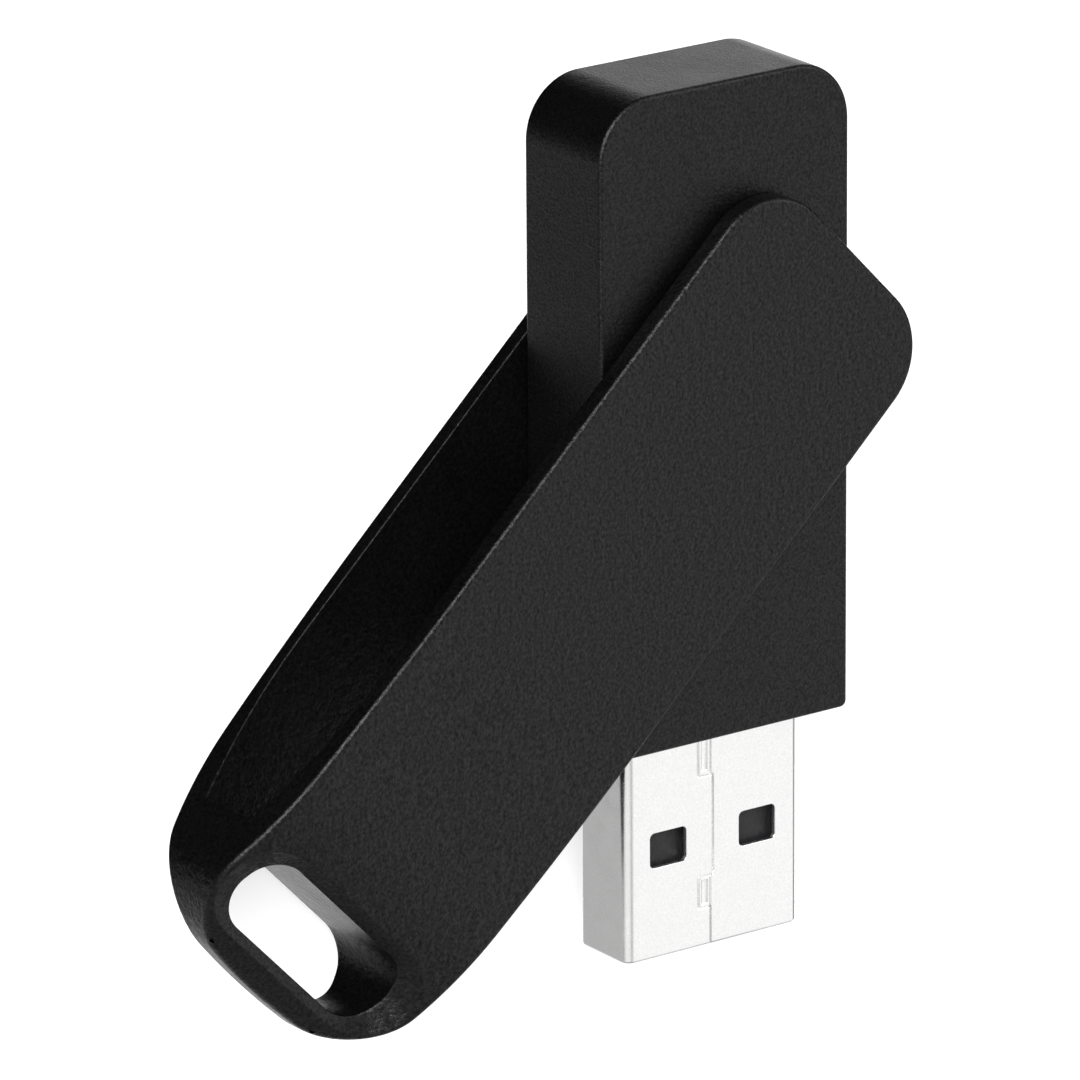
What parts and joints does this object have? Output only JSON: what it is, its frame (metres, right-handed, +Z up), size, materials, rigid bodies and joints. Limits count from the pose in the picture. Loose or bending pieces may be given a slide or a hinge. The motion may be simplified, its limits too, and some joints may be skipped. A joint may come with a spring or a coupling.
{
  "type": "usb flash drive",
  "caption": "Swivel flash drive: a flat rounded body with a type A plug, held at its middle by a painted cast clip with a key ring slot.",
  "frame": {"origin": "foot of the pivot axis on the clip's flat underside", "axes": "+X along the drive body towards the plug, +Y across the body, +Z up through the thickness along the pivot axis. At rest the clip stands 46.4 degrees open, its key ring end towards +X and -Y."},
  "size_m": [0.0509, 0.0454, 0.0102],
  "materials": {
    "clip_paint": "textured black powder coat",
    "stud_steel": "turned steel",
    "sleeve_coat": "fine grained black",
    "bush_plastic": "moulded black",
    "cap_plastic": "moulded black",
    "plug_nickel": "satin nickel plate",
    "tongue_plastic": "moulded dark grey",
    "contact_gold": "gold flash over nickel",
    "board_laminate": "solder-masked glass laminate",
    "carrier_plastic": "moulded dark grey",
    "chip_resin": "moulded epoxy",
    "crystal_can": "drawn metal can",
    "capacitor_ceramic": "fired ceramic",
    "resistor_film": "glazed film",
    "solder_tin": "bright solder",
    "lead_tin": "tinned lead frame"
  },
  "bodies": {
    "clip": {"swivel_clip": "clip_paint", "pivot_stud_upper": "stud_steel", "pivot_stud_lower": "stud_steel"},
    "drive": {"body_sleeve": "sleeve_coat", "pivot_bush_upper": "bush_plastic", "pivot_bush_lower": "bush_plastic", "end_cap": "cap_plastic", "plug_shell": "plug_nickel", "plug_insulator": "tongue_plastic", "contact_vbus": "contact_gold", "contact_dminus": "contact_gold", "contact_dplus": "contact_gold", "contact_gnd": "contact_gold", "circuit_board": "board_laminate", "board_carrier": "carrier_plastic", "controller_chip": "chip_resin", "crystal_oscillator": "crystal_can", "capacitors": "capacitor_ceramic", "resistors": "resistor_film", "solder_joints": "solder_tin", "flash_memory_chip": "chip_resin", "flash_memory_leads": "lead_tin"}
  },
  "joints": [
    {"name": "clip_swivel", "type": "hinge", "parent": "clip", "child": "drive", "pos_m": [0, 0, 0], "axis": [0, 0, 1], "continuous": true}
  ]
}
